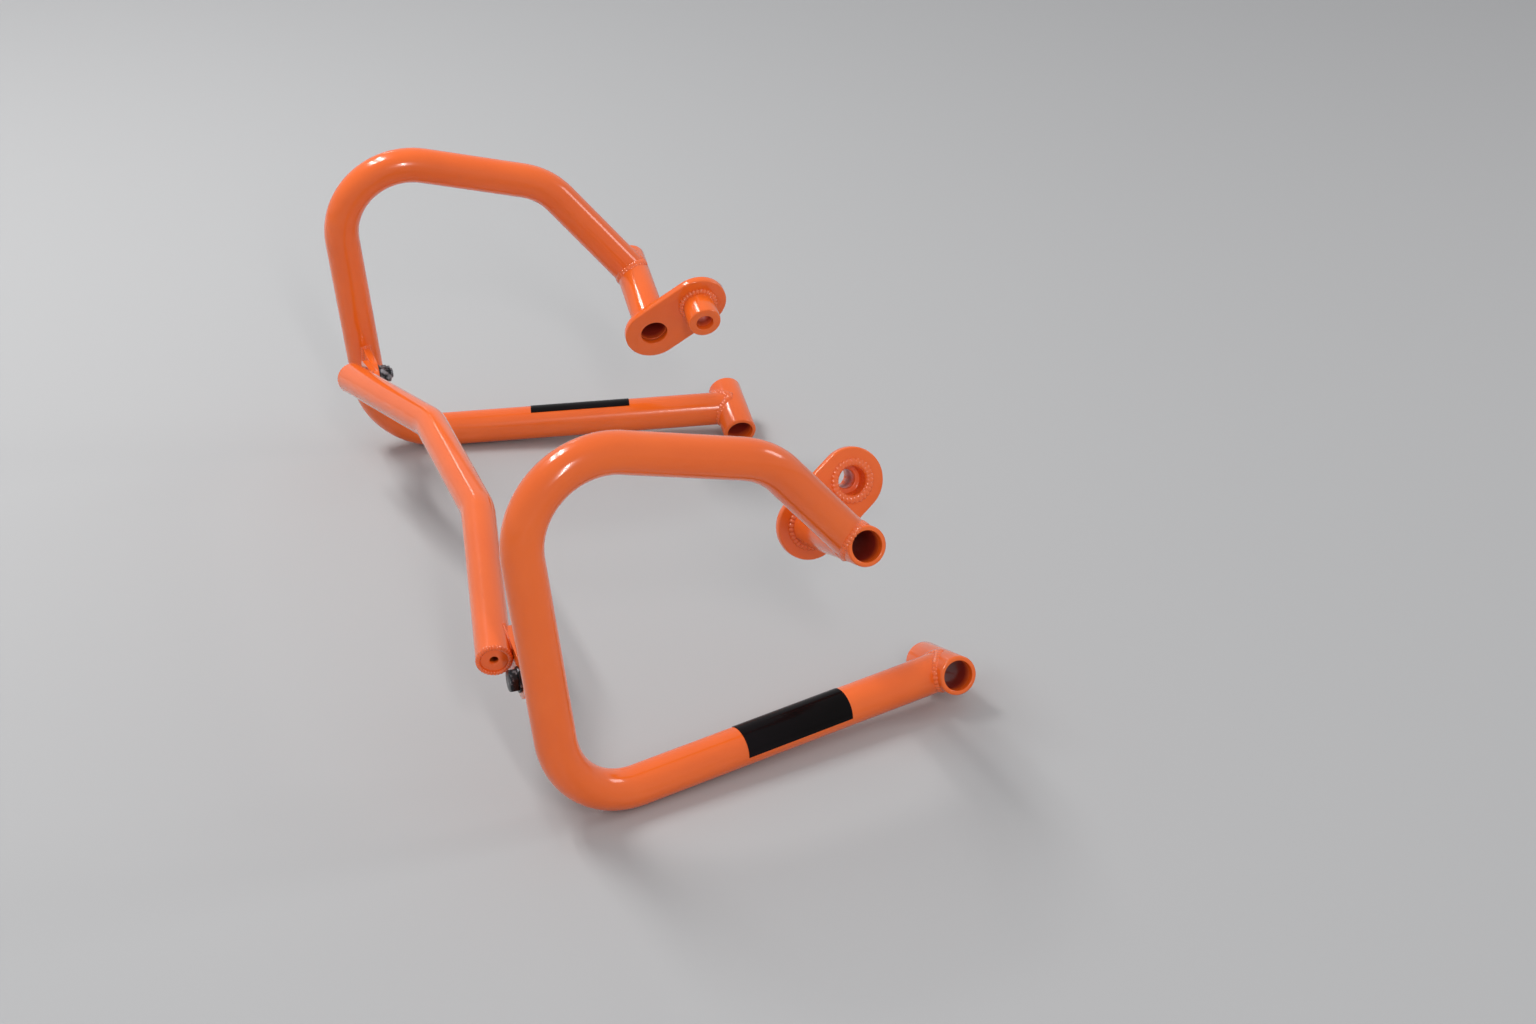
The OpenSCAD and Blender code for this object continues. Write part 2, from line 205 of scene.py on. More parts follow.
def math_node(tree, operation, a, b=None, clamp=False):
    """A Math node whose inputs are sockets or numbers."""
    node = tree.nodes.new("ShaderNodeMath")
    node.operation = operation
    node.use_clamp = clamp
    feed(tree, node.inputs[0], a)
    if b is not None:
        feed(tree, node.inputs[1], b)
    return node.outputs[0]


def vector_node(tree, operation, a, b=None, out="Vector"):
    """A Vector Math node whose inputs are sockets."""
    node = tree.nodes.new("ShaderNodeVectorMath")
    node.operation = operation
    feed(tree, node.inputs[0], a)
    if b is not None:
        feed(tree, node.inputs["Scale" if operation == "SCALE" else 1], b)
    return node.outputs[out]


# %% Helper: patterns
def noise(tree, place, size, detail=2.0, roughness=0.5):
    """A noise pattern whose features are about size metres across."""
    node = tree.nodes.new("ShaderNodeTexNoise")
    node.inputs["Scale"].default_value = 1.0 / size
    node.inputs["Detail"].default_value = detail
    node.inputs["Roughness"].default_value = roughness
    tree.links.new(place, node.inputs["Vector"])
    return node.outputs["Fac"]


def spread(tree, value, low, high, to_low=0.0, to_high=1.0):
    """The values from low to high, spread out from to_low to to_high and clamped."""
    node = tree.nodes.new("ShaderNodeMapRange")
    tree.links.new(value, node.inputs["Value"])
    for label, number in (("From Min", low), ("From Max", high),
                          ("To Min", to_low), ("To Max", to_high)):
        node.inputs[label].default_value = number
    return node.outputs[0]


# %% Node group: the coat's film
PEEL_SIZE = 4.5 * MM
GRAIN_SIZE, GRAIN_SHARE = 0.9 * MM, 0.05
CLOUD_SIZE = 55 * MM
NIB_SIZE, NIB_SHARE = 2.8 * MM, 0.5
SMOOTH_FILM, ROUGH_FILM = 0.15, 0.22

film_group, film_in, film_out = effect_group(
    "powder film",
    [("Place", "NodeSocketVector", None), ("Peel Size", "NodeSocketFloat", PEEL_SIZE)],
    [("Depth", "NodeSocketFloat"), ("Roughness", "NodeSocketFloat"),
     ("Height", "NodeSocketFloat")])

peel_place = vector_node(film_group, "SCALE", film_in.outputs["Place"],
                         math_node(film_group, "DIVIDE", 1.0, film_in.outputs["Peel Size"]))
peel = noise(film_group, peel_place, 1.0, 1.5, 0.45)
grain = noise(film_group, film_in.outputs["Place"], GRAIN_SIZE, 2.0, 0.6)
clouds = noise(film_group, film_in.outputs["Place"], CLOUD_SIZE, 3.0, 0.5)
specks = noise(film_group, film_in.outputs["Place"], NIB_SIZE, 0.0, 0.5)
nibs = spread(film_group, specks, 0.80, 0.84)  # only the highest peaks are specks

height = math_node(film_group, "ADD", peel,
                   math_node(film_group, "MULTIPLY", grain, GRAIN_SHARE))
height = math_node(film_group, "ADD", height,
                   math_node(film_group, "MULTIPLY", nibs, NIB_SHARE))
film_group.links.new(height, film_out.inputs["Height"])
film_group.links.new(spread(film_group, clouds, 0.3, 0.7), film_out.inputs["Depth"])
film_group.links.new(spread(film_group, clouds, 0.25, 0.75, SMOOTH_FILM, ROUGH_FILM),
                     film_out.inputs["Roughness"])
print("group:", film_group.name)

# %% [markdown]
# ## Inside the bores
#
# Little light reaches deep into a narrow hole, so the orange coat there lies in shade.
# That shade is painted into the colour: just inside the rim of each sleeve the orange
# is full, and deeper in it turns to a painted dark red-brown shade.  Separate faces
# could be painted dark, but the change is gradual.  The group below knows the middle of a
# bore, the direction of its axis, its radius and half its length, and gives 1 deep inside
# and 0 elsewhere.

# %% Node group: depth inside a bore
SLEEVE_BORE_R, BOSS_BORE_R = 9.7 * MM, 6.25 * MM
WALL_SLACK = 0.2 * MM
# the painted shade starts this far in from the rim, then darkens fully over this length
UNSHADED_RIM, SHADE_RAMP = 3 * MM, 8 * MM

bore_group, bore_in, bore_out = effect_group(
    "bore depth",
    [("Place", "NodeSocketVector", None), ("Middle", "NodeSocketVector", None),
     ("Axis", "NodeSocketVector", None), ("Radius", "NodeSocketFloat", SLEEVE_BORE_R),
     ("Half Length", "NodeSocketFloat", 0.025), ("Unshaded Rim", "NodeSocketFloat", UNSHADED_RIM)],
    [("Inside", "NodeSocketFloat")])

from_middle = vector_node(bore_group, "SUBTRACT", bore_in.outputs["Place"],
                          bore_in.outputs["Middle"])
along = vector_node(bore_group, "DOT_PRODUCT", from_middle, bore_in.outputs["Axis"], "Value")
far = vector_node(bore_group, "LENGTH", from_middle, out="Value")
out_squared = math_node(bore_group, "SUBTRACT", math_node(bore_group, "MULTIPLY", far, far),
                        math_node(bore_group, "MULTIPLY", along, along))
out = math_node(bore_group, "SQRT", math_node(bore_group, "MAXIMUM", out_squared, 0.0))
in_hole = math_node(bore_group, "LESS_THAN", out,
                    math_node(bore_group, "ADD", bore_in.outputs["Radius"], WALL_SLACK))
deep = math_node(bore_group, "SUBTRACT", bore_in.outputs["Half Length"],
                 math_node(bore_group, "ABSOLUTE", along))
deep = math_node(bore_group, "SUBTRACT", deep, bore_in.outputs["Unshaded Rim"])
deep = math_node(bore_group, "DIVIDE", deep, SHADE_RAMP, clamp=True)
bore_group.links.new(math_node(bore_group, "MULTIPLY", in_hole, deep),
                     bore_out.inputs["Inside"])
print("group:", bore_group.name)

# %% [markdown]
# ## The powder coat as a material
#
# The shader is one Principled BSDF.  Its colour runs between two oranges with the film's
# depth, its roughness drifts a little, and the orange peel reaches Normal through a Bump
# node.  Clear gloss is the shader's own coat, set on its sockets.  The material of a
# piece with a hole adds the bore group.  One orange for all would be simpler, but it
# would look like plastic foil.

# %% Helper: parts of a material
def new_material(name):
    """A material, its node tree, its shader and the place of each point on a piece."""
    material = bpy.data.materials.new(name)
    material.use_nodes = True
    tree = material.node_tree
    place = tree.nodes.new("ShaderNodeTexCoord").outputs["Object"]
    return material, tree, tree.nodes["Principled BSDF"], place


def placed(tree, group, **values):
    """The outputs of a node group whose inputs get the given values, _ for a space."""
    node = tree.nodes.new("ShaderNodeGroup")
    node.node_tree = group
    for label, value in values.items():
        feed(tree, node.inputs[label.replace("_", " ")], value)
    return node.outputs


def mix_colour(tree, share, first, second):
    """A Mix node for colours; first and second are colours or sockets."""
    node = tree.nodes.new("ShaderNodeMix")
    node.data_type = "RGBA"
    tree.links.new(share, node.inputs["Factor"])
    for label, value in (("A", first), ("B", second)):
        feed(tree, [s for s in node.inputs if s.name == label and s.type == "RGBA"][0], value)
    return [s for s in node.outputs if s.type == "RGBA"][0]


def ripple(tree, shader, height, distance):
    """Let a height pattern, distance metres deep, tilt the shader's normal."""
    bump = tree.nodes.new("ShaderNodeBump")
    bump.inputs["Strength"].default_value = 1.0
    bump.inputs["Distance"].default_value = distance
    tree.links.new(height, bump.inputs["Height"])
    tree.links.new(bump.outputs["Normal"], shader.inputs["Normal"])


# %% Powder coat materials
ORANGE_THIN = (0.91, 0.150, 0.016, 1)
ORANGE_DEEP = (0.86, 0.130, 0.012, 1)
# painted shade: the orange coat darkened to red-brown deep inside a bore
BORE_PAINTED_SHADE = (0.30, 0.014, 0.001, 1)
DEEP_BORE_ROUGHNESS = 0.7
PEEL_HEIGHT, WELD_PEEL_HEIGHT = 0.03 * MM, 0.05 * MM
COAT_GLOSS, WELD_GLOSS = 0.5, 1.0
COAT_SHINE, CLEAR_ROUGHNESS = 0.4, 0.09


def powder_coat(name, bores=(), peel_height=PEEL_HEIGHT, gloss=COAT_GLOSS):
    """Gloss orange coat.  Each bore is (middle, axis, radius, half length), in metres."""
    paint, tree, shader, place = new_material(name)
    film = placed(tree, film_group, Place=place, Peel_Size=PEEL_SIZE)
    colour = mix_colour(tree, film["Depth"], ORANGE_THIN, ORANGE_DEEP)
    rough = film["Roughness"]
    for middle, axis, radius, half in bores:
        inside = placed(tree, bore_group, Place=place, Middle=middle, Axis=axis,
                        Radius=radius, Half_Length=half)["Inside"]
        # painted shade deep in the bore, with the surface a little rougher there
        colour = mix_colour(tree, inside, colour, BORE_PAINTED_SHADE)
        rough = math_node(tree, "ADD", rough,
                          math_node(tree, "MULTIPLY", inside, DEEP_BORE_ROUGHNESS))
    ripple(tree, shader, film["Height"], peel_height)
    tree.links.new(colour, shader.inputs["Base Color"])
    tree.links.new(rough, shader.inputs["Roughness"])
    shader.inputs["Specular IOR Level"].default_value = COAT_SHINE
    shader.inputs["Coat Weight"].default_value = gloss
    shader.inputs["Coat Roughness"].default_value = CLEAR_ROUGHNESS
    return paint


coat = powder_coat("powder coat")
weld_coat = powder_coat("weld coat", peel_height=WELD_PEEL_HEIGHT, gloss=WELD_GLOSS)
print("materials:", coat.name, "and", weld_coat.name)

# %% [markdown]
# ## Where things are
#
# The new pieces have to sit exactly on the CAD solids, so the few sizes they need are
# repeated here in metres: the slanted axis of the rear sleeves, the two places where a
# tube meets a sleeve, the bend corners, the brace and the bolt.  They could be measured
# from the meshes, but stated sizes are easier to follow.  The left guard stands at +Y.
# Everything on the right is its mirror image.

# %% Sizes of the guards
TUBE_R = 12.7 * MM
EDGE_BREAK = 0.8 * MM
TILT, TOE = radians(17), radians(4)
SLEEVE_AXIS = Vector((-cos(TILT) * sin(TOE), cos(TILT) * cos(TOE), sin(TILT)))
LOW_SLEEVE_OUT, LOW_SLEEVE_IN = 21.7 * MM, 30 * MM
UP_SLEEVE_OUT, UP_SLEEVE_IN = 18.3 * MM, 68 * MM

LOW_JOINT_HEIGHT = TUBE_R * cos(TILT) + (LOW_SLEEVE_IN - EDGE_BREAK) * sin(TILT)
LOW_JOINT = Vector((-0.1444, 0.214, LOW_JOINT_HEIGHT))
UP_JOINT = Vector((-0.0741, 0.235, 0.1348))
LOW_FRONT = Vector((0.1212, 0.278, 0.0116))
TOP_FRONT = Vector((0.1461, 0.264, 0.2465))
TOP_REAR = Vector((-0.0124, 0.252, 0.2073))

LOW_OUTER = LOW_JOINT + SLEEVE_AXIS * LOW_SLEEVE_OUT
LOW_INNER = LOW_JOINT - SLEEVE_AXIS * LOW_SLEEVE_IN
UP_OUTER = UP_JOINT + SLEEVE_AXIS * UP_SLEEVE_OUT
UP_INNER = UP_JOINT - SLEEVE_AXIS * UP_SLEEVE_IN
print("sleeve axis", [round(v, 4) for v in SLEEVE_AXIS])

# %% Sizes of the mount plate and its boss
PLATE_T = 6 * MM
LOBE_PITCH, LOBE_ANGLE = 39.5 * MM, radians(36.5)
BOSS_R, BOSS_LONG, COUNTERBORE_DEEP = 12 * MM, 28 * MM, 10 * MM

PLATE_FORE = SLEEVE_AXIS.cross(Vector((0, 0, 1))).normalized()
PLATE_UP = PLATE_FORE.cross(SLEEVE_AXIS)
BOSS = UP_INNER + LOBE_PITCH * (-cos(LOBE_ANGLE) * PLATE_FORE + sin(LOBE_ANGLE) * PLATE_UP)
print("boss at", [round(v, 4) for v in BOSS])

# %% Sizes of the brace and its joint
BRACE_END = Vector((0.1476, 0.219, 0.0863))
BRACE_MID = Vector((0.1205, 0.070, 0.1108))
BRACE_OUT = (BRACE_END - BRACE_MID).normalized()
BRACE_R = 11.1 * MM
BOLT = Vector((0.1313, 0.234, 0.0795))
LUG_T, LUG_R = 5 * MM, 12 * MM
SIDES = (("left", 1), ("right", -1))


def mirrored(v, side):
    """A point or direction of the left guard, carried to the given side."""
    return Vector((v[0], v[1] * side, v[2]))


print("bolts at", [[round(v, 4) for v in mirrored(BOLT, sign)] for side, sign in SIDES])

# %% [markdown]
# ## Rounded edges
#
# The CAD solids have knife-sharp edges.  On the real guards every edge was ground and
# then covered by the coat, so it carries a thin bright line of reflected light.  Such a
# piece could be modelled again from nothing.  Copying the solid keeps its exact size:
# its loose triangles are merged, flat areas are joined, and a Bevel modifier rounds
# each sharp edge.

# %% Helper: a copy of a solid with rounded edges
MERGE_DISTANCE = 0.01 * MM
FLAT_ANGLE, SHARP_ANGLE, SMOOTH_ANGLE = radians(0.5), radians(38), radians(30)
ROUND_SEGMENTS = 3


def rounded(node, radius):
    """Stand in for a CAD node with a copy whose sharp edges have the given radius."""
    piece = bpy.data.objects.new(node + "_coated", nodes[node].data.copy())
    bpy.context.scene.collection.objects.link(piece)
    alone(piece)
    bpy.ops.object.mode_set(mode="EDIT")
    bpy.ops.mesh.select_all(action="SELECT")
    bpy.ops.mesh.remove_doubles(threshold=MERGE_DISTANCE)
    bpy.ops.mesh.dissolve_limited(angle_limit=FLAT_ANGLE)
    bpy.ops.object.mode_set(mode="OBJECT")
    bevel = piece.modifiers.new("rounded edges", "BEVEL")
    bevel.width = radius
    bevel.segments = ROUND_SEGMENTS
    bevel.limit_method = "ANGLE"
    bevel.angle_limit = SHARP_ANGLE
    bevel.use_clamp_overlap = True
    bpy.ops.object.modifier_apply(modifier=bevel.name)
    bpy.ops.object.shade_smooth_by_angle(angle=SMOOTH_ANGLE)
    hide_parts(node)
    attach(piece, "root")
    return piece


def dress(piece, material):
    """Give every face of a piece one material."""
    piece.data.materials.clear()
    piece.data.materials.append(material)


# %% Sleeves, plates, bosses and lugs
SLEEVE_ROUND, PLATE_ROUND, LUG_ROUND = 0.9 * MM, 1.2 * MM, 0.7 * MM

upper_bore = ((UP_OUTER + UP_INNER - SLEEVE_AXIS * PLATE_T) / 2, SLEEVE_BORE_R,
              ((UP_OUTER - UP_INNER).length + PLATE_T) / 2)
BORED = (  # piece, edge radius, and its bore's middle, radius and half length
    ("lower_sleeve", SLEEVE_ROUND, ((LOW_OUTER + LOW_INNER) / 2, SLEEVE_BORE_R,
                                    (LOW_OUTER - LOW_INNER).length / 2)),
    ("upper_sleeve", SLEEVE_ROUND, upper_bore),
    ("mount_plate", PLATE_ROUND, upper_bore),
    ("step_boss", SLEEVE_ROUND, (BOSS - SLEEVE_AXIS * (COUNTERBORE_DEEP + BOSS_LONG) / 2,
                                 BOSS_BORE_R, (BOSS_LONG - COUNTERBORE_DEEP) / 2)),
)
for side, sign in SIDES:
    axis = mirrored(SLEEVE_AXIS, sign)
    for part, edge_radius, (middle, radius, half) in BORED:
        piece = rounded(f"{side}_{part}", edge_radius)
        dress(piece, powder_coat(f"{side} {part} coat",
                                 [(mirrored(middle, sign), axis, radius, half)]))
        print(piece.name, len(piece.data.polygons), "faces")
    for part in ("guard_lug", "brace_lug", "brace_cap"):
        piece = rounded(f"{side}_{part}", LUG_ROUND)
        dress(piece, coat)
        print(piece.name, len(piece.data.polygons), "faces")

# %% [markdown]
# ## The tubes
#
# The bent tubes are already right: one size of tube, one bend radius, round all along.
# Modelling them again would only lose accuracy, so they keep the CAD mesh and get the
# coat.

# %% Tubes keep their CAD mesh
for name in ("left_guard_tube", "right_guard_tube", "brace_tube"):
    for place in nodes[name].material_slots:
        place.material = coat
    print(name, "coated")

# %% [markdown]
# ## Weld beads
#
# Every joint is welded by hand.  The welder moves in small steps, and each step leaves
# a round puddle that half covers the last one, like a row of fallen coins.  Under the
# coat they catch the light as a row of bright dots.  A bead could be a smooth ring, but
# the dots would be missing.  So one puddle is modelled, and copies of it are laid along
# each joint, each with its own mesh, then joined to one bead.

# %% One puddle
FRONT_FROM, SHORTENED = 0.1, 0.72  # a puddle's front is shorter than its back

bpy.ops.object.select_all(action="DESELECT")
bpy.ops.mesh.primitive_uv_sphere_add(segments=12, ring_count=7, radius=1.0,
                                     location=(0, 0, 0))
puddle = alone(bpy.context.object)
puddle.name = "puddle"
bpy.ops.object.mode_set(mode="EDIT")
bpy.ops.mesh.select_all(action="DESELECT")
bpy.ops.object.mode_set(mode="OBJECT")
for corner in puddle.data.vertices:
    corner.select = corner.co.x > FRONT_FROM
bpy.ops.object.mode_set(mode="EDIT")
bpy.ops.transform.resize(value=(SHORTENED, 1, 1))
bpy.ops.object.mode_set(mode="OBJECT")
bpy.ops.object.shade_smooth()
print("puddle:", len(puddle.data.polygons), "faces")


# %% Helper: evenly spaced places along a joint
def stations(seam, pitch, closed):
    """The (point, outward, ahead, share of height) of each puddle along a seam."""
    count = len(seam)
    steps = [(seam[i], seam[(i + 1) % count]) for i in range(count if closed else count - 1)]
    lengths = [(b[0] - a[0]).length for a, b in steps]
    number = max(2, round(sum(lengths) / pitch))
    walked, step = 0.0, 0
    for i in range(number if closed else number + 1):
        goal = sum(lengths) * i / number
        while step < len(steps) - 1 and walked + lengths[step] < goal:
            walked += lengths[step]
            step += 1
        a, b = steps[step]
        share = min(1.0, (goal - walked) / max(lengths[step], 1e-9))
        outward = a[1].lerp(b[1], share).normalized()
        ahead = (b[0] - a[0]).normalized()
        ahead = (ahead - outward * ahead.dot(outward)).normalized()
        yield a[0].lerp(b[0], share), outward, ahead, a[2] + (b[2] - a[2]) * share


# %% Helper: lay puddles along a joint
PUDDLE_REACH = 0.82  # half a puddle's length, as a share of the pitch


def lay_bead(name, seam, half_width, height, pitch, closed):
    """Copies of the puddle along a seam, joined to one bead."""
    laid = []
    for point, outward, ahead, share in stations(seam, pitch, closed):
        across = outward.cross(ahead)
        place = Matrix((ahead * pitch * PUDDLE_REACH, across * half_width,
                        outward * (height * share))).transposed().to_4x4()
        place.translation = point
        copy = bpy.data.objects.new(name, puddle.data.copy())
        copy.data.transform(place)
        bpy.context.scene.collection.objects.link(copy)
        laid.append(copy)
    alone(laid[0])
    for copy in laid:
        copy.select_set(True)
    bpy.ops.object.join()
    bead = alone(bpy.context.object)
    bead.name = name
    dress(bead, weld_coat)
    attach(bead, "root")
    return bead


# %% [markdown]
# ## The joints
#
# Three kinds of joint are needed.  A ring runs round a bar that stands on a flat face.
# A saddle runs where the end of one tube is cut to fit against the side of another of
# the same size.  A line runs along a flat lug.  The edges could be picked from the
# meshes, but they are plain circles and cylinders, so each seam is worked out: points,
# and at each point the direction that looks out of the corner, half way between the
# two walls.  A last number lowers the bead where there is less room for it.

# %% Helper: a ring and a saddle
RING_POINTS, SADDLE_POINTS = 120, 180
SADDLE_DIP = 0.45  # how much lower a saddle's bead is where the walls run level


def ring_seam(centre, axis, radius, lean):
    """Round a bar on a flat face; lean is the angle from outward to along the axis."""
    first = axis.orthogonal().normalized()
    second = axis.cross(first)
    seam = []
    for i in range(RING_POINTS):
        turn = 2 * pi * i / RING_POINTS
        out = first * cos(turn) + second * sin(turn)
        seam.append((centre + out * radius, out * cos(lean) + axis * sin(lean), 1.0))
    return seam


def saddle_seam(joint, tube_way, sleeve_way, radius):
    """Where a tube that runs along tube_way meets the side of an equal cross tube."""
    first = tube_way.orthogonal().normalized()
    second = tube_way.cross(first)
    lean = tube_way.dot(sleeve_way)
    seam = []
    for i in range(SADDLE_POINTS):
        turn = 2 * pi * i / SADDLE_POINTS
        out = first * cos(turn) + second * sin(turn)
        side = radius * out.dot(sleeve_way)
        away = (lean * side + abs(side)) / (1 - lean * lean)
        point = out * radius + tube_way * away
        wall = (point - sleeve_way * point.dot(sleeve_way)).normalized()
        level = max(0.0, out.dot(wall))
        seam.append((joint + point, (out + wall).normalized(), 1.0 - SADDLE_DIP * level))
    return seam


# %% Helper: round the guard lug
LINE_STEPS, END_STEPS = 12, 4


def upright_at(x, height):
    """The point on the inner side of the upright at x and height, and its wall's way."""
    share = (height - LOW_FRONT.z) / (TOP_FRONT.z - LOW_FRONT.z)
    middle = LOW_FRONT.lerp(TOP_FRONT, share)
    reach = x - middle.x
    back = sqrt(TUBE_R ** 2 - reach ** 2)
    return Vector((x, middle.y - back, height)), Vector((reach, -back, 0)) / TUBE_R


def guard_lug_seam():
    """Round the guard lug where it meets the upright."""
    front, rear = BOLT.x, BOLT.x - LUG_T
    top, bottom = BOLT.z + LUG_R, BOLT.z - LUG_R
    line = [i / LINE_STEPS for i in range(LINE_STEPS + 1)]
    end = [i / END_STEPS for i in range(1, END_STEPS)]
    rounds = (
        [(front, bottom + 2 * LUG_R * share, (1, 0, 0)) for share in line]
        + [(front - LUG_T * share, top, (0, 0, 1)) for share in end]
        + [(rear, top - 2 * LUG_R * share, (-1, 0, 0)) for share in line]
        + [(rear + LUG_T * share, bottom, (0, 0, -1)) for share in end])
    seam = []
    for x, height, lug_side in rounds:
        point, wall = upright_at(x, height)
        seam.append((point, (wall + Vector(lug_side)).normalized(), 1.0))
    return seam


# %% Helper: along the brace lug
BRACE_WELD_START, BRACE_WELD_LONG = 20 * MM, 16.5 * MM


def brace_lug_seam(above):
    """Along the upper or lower line where the brace lies on its lug."""
    face = BOLT.x + LUG_T
    seam = []
    for i in range(LINE_STEPS + 1):
        along_y = BRACE_END.y - BRACE_WELD_START + BRACE_WELD_LONG * i / LINE_STEPS
        share = (along_y - BRACE_MID.y) / (BRACE_END.y - BRACE_MID.y)
        middle = BRACE_MID.lerp(BRACE_END, share)
        reach = middle.x - face
        if reach >= BRACE_R:
            break
        rise = sqrt(BRACE_R ** 2 - reach ** 2) * (1 if above else -1)
        wall = Vector((-reach, 0, rise)) / BRACE_R
        seam.append((Vector((face, middle.y, middle.z + rise)),
                     (wall + Vector((1, 0, 0))).normalized(), 1.0))
    return seam


print("the guard lug's seam has", len(guard_lug_seam()), "points")

# %% Every bead of one guard
CAP_WELD_R, CAP_LEAN = 9.7 * MM, pi / 2.4
CORNER_LEAN, FLUSH_LEAN = pi / 4, pi / 2
# half width, height and pitch of each kind of bead, in millimetres
COPED, FILLET, FLUSH = (3.0, 2.0, 2.6), (3.0, 2.7, 2.5), (2.7, 1.0, 2.7)
LUG_EDGE, BRACE_EDGE, CAP_EDGE = (2.0, 1.6, 1.7), (1.8, 1.5, 1.6), (1.7, 1.3, 1.9)

rail_way = (LOW_FRONT - LOW_JOINT).normalized()
diagonal_way = (TOP_REAR - UP_JOINT).normalized()
BEADS = (  # name, seam, kind of bead, and closed or not
    ("rail_weld", saddle_seam(LOW_JOINT, rail_way, SLEEVE_AXIS, TUBE_R), COPED, True),
    ("diagonal_weld", saddle_seam(UP_JOINT, diagonal_way, SLEEVE_AXIS, TUBE_R), COPED, True),
    ("sleeve_weld", ring_seam(UP_INNER, SLEEVE_AXIS, TUBE_R, CORNER_LEAN), FILLET, True),
    ("boss_face_weld", ring_seam(BOSS, SLEEVE_AXIS, BOSS_R + WALL_SLACK, FLUSH_LEAN),
     FLUSH, True),
    ("boss_back_weld",
     ring_seam(BOSS - SLEEVE_AXIS * PLATE_T, -SLEEVE_AXIS, BOSS_R, CORNER_LEAN),
     FILLET, True),
    ("lug_weld", guard_lug_seam(), LUG_EDGE, True),
    ("brace_lug_weld_top", brace_lug_seam(True), BRACE_EDGE, False),
    ("brace_lug_weld_under", brace_lug_seam(False), BRACE_EDGE, False),
    ("cap_weld", ring_seam(BRACE_END, BRACE_OUT, CAP_WELD_R, CAP_LEAN), CAP_EDGE, True),
)
print("beads on each side:", len(BEADS))

# %% Lay every bead
for side, sign in SIDES:
    made = {}
    for part, seam, sizes, closed in BEADS:
        seam = [(mirrored(point, sign), mirrored(outward, sign), share)
                for point, outward, share in seam]
        made[part] = lay_bead(f"{side}_{part}", seam, *(size * MM for size in sizes), closed)
        print(made[part].name, len(made[part].data.polygons), "faces")
    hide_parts(f"{side}_plate_welds")
    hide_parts("brace_cap_welds")
bpy.data.objects.remove(puddle)

# %% [markdown]
# ## Bolts, washers and nuts
#
# A pair of M8 bolts joins the brace to the guards.  They are steel with a black zinc
# finish: dark, with a satin metal shine and cloudy thin spots.  On the nuts and the
# threads a spanner has rubbed more of it away, so bright metal shows.  The heads, washers
# and self-locking nuts keep their CAD shapes with softened edges.  The end that stands
# out of the nut could stay a plain rod, but close up it shows its thread.  So it is cut
# away and modelled as a real screw thread, with a Screw modifier that turns one tooth
# round the bolt and moves it along as it goes.

# %% Node group: worn zinc
BLOTCH_SIZE, FINE_SIZE = 4 * MM, 0.5 * MM
SMOOTH_ZINC, ROUGH_ZINC = 0.24, 0.42

zinc_group, zinc_in, zinc_out = effect_group(
    "worn zinc", [("Place", "NodeSocketVector", None), ("Wear", "NodeSocketFloat", 0.0)],
    [("Worn", "NodeSocketFloat"), ("Roughness", "NodeSocketFloat"),
     ("Height", "NodeSocketFloat")])
blotch = noise(zinc_group, zinc_in.outputs["Place"], BLOTCH_SIZE, 3.0, 0.6)
fine = noise(zinc_group, zinc_in.outputs["Place"], FINE_SIZE, 2.0, 0.6)
rubbed = math_node(zinc_group, "ADD", blotch, zinc_in.outputs["Wear"])
zinc_group.links.new(spread(zinc_group, rubbed, 0.55, 0.75), zinc_out.inputs["Worn"])
zinc_group.links.new(spread(zinc_group, blotch, 0.3, 0.7, SMOOTH_ZINC, ROUGH_ZINC),
                     zinc_out.inputs["Roughness"])
zinc_group.links.new(fine, zinc_out.inputs["Height"])
print("group:", zinc_group.name)

# %% Zinc materials
SPANNER_WEAR = 0.18
ZINC_BLACK, BRIGHT_METAL = (0.030, 0.031, 0.035, 1), (0.34, 0.34, 0.36, 1)
ZINC_GRAIN_HEIGHT, METAL_SHARE = 0.01 * MM, 0.9


def zinc(name, wear):
    """Black zinc, with more or less of it rubbed down to bright metal."""
    plating, tree, shader, place = new_material(name)
    worn = placed(tree, zinc_group, Place=place, Wear=wear)
    tree.links.new(mix_colour(tree, worn["Worn"], ZINC_BLACK, BRIGHT_METAL),
                   shader.inputs["Base Color"])
    tree.links.new(worn["Roughness"], shader.inputs["Roughness"])
    ripple(tree, shader, worn["Height"], ZINC_GRAIN_HEIGHT)
    shader.inputs["Metallic"].default_value = METAL_SHARE
    return plating


black_zinc = zinc("black zinc", 0.0)
rubbed_zinc = zinc("rubbed zinc", SPANNER_WEAR)
print("materials:", black_zinc.name, "and", rubbed_zinc.name)

# %% Heads, washers and nuts
for node, radius, finish in (("joint_bolts", 0.35 * MM, black_zinc),
                             ("joint_washers", 0.3 * MM, black_zinc),
                             ("joint_nuts", 0.35 * MM, rubbed_zinc)):
    piece = rounded(node, radius)
    dress(piece, finish)
    print(piece.name, len(piece.data.polygons), "faces")

# %% Cut the plain ends off the bolts
WASHER_T, NUT_T, STUB = 1.6 * MM, 8.0 * MM, 2.0 * MM
HIDDEN_IN_NUT = 3 * MM
NUT_END = BOLT.x - LUG_T - WASHER_T - NUT_T
BOLT_END, THREAD_START = NUT_END - STUB, NUT_END + HIDDEN_IN_NUT

alone(bpy.data.objects["joint_bolts_coated"])
bpy.ops.object.mode_set(mode="EDIT")
bpy.ops.mesh.select_all(action="SELECT")
bpy.ops.mesh.bisect(plane_co=(THREAD_START, 0, 0), plane_no=(1, 0, 0),
                    clear_inner=True, use_fill=True)
bpy.ops.object.mode_set(mode="OBJECT")
print("bolts cut at x =", round(THREAD_START, 4))

# %% Helper: the core of a threaded end
CORE_R, CORE_BEVEL = 3.45 * MM, 0.5 * MM


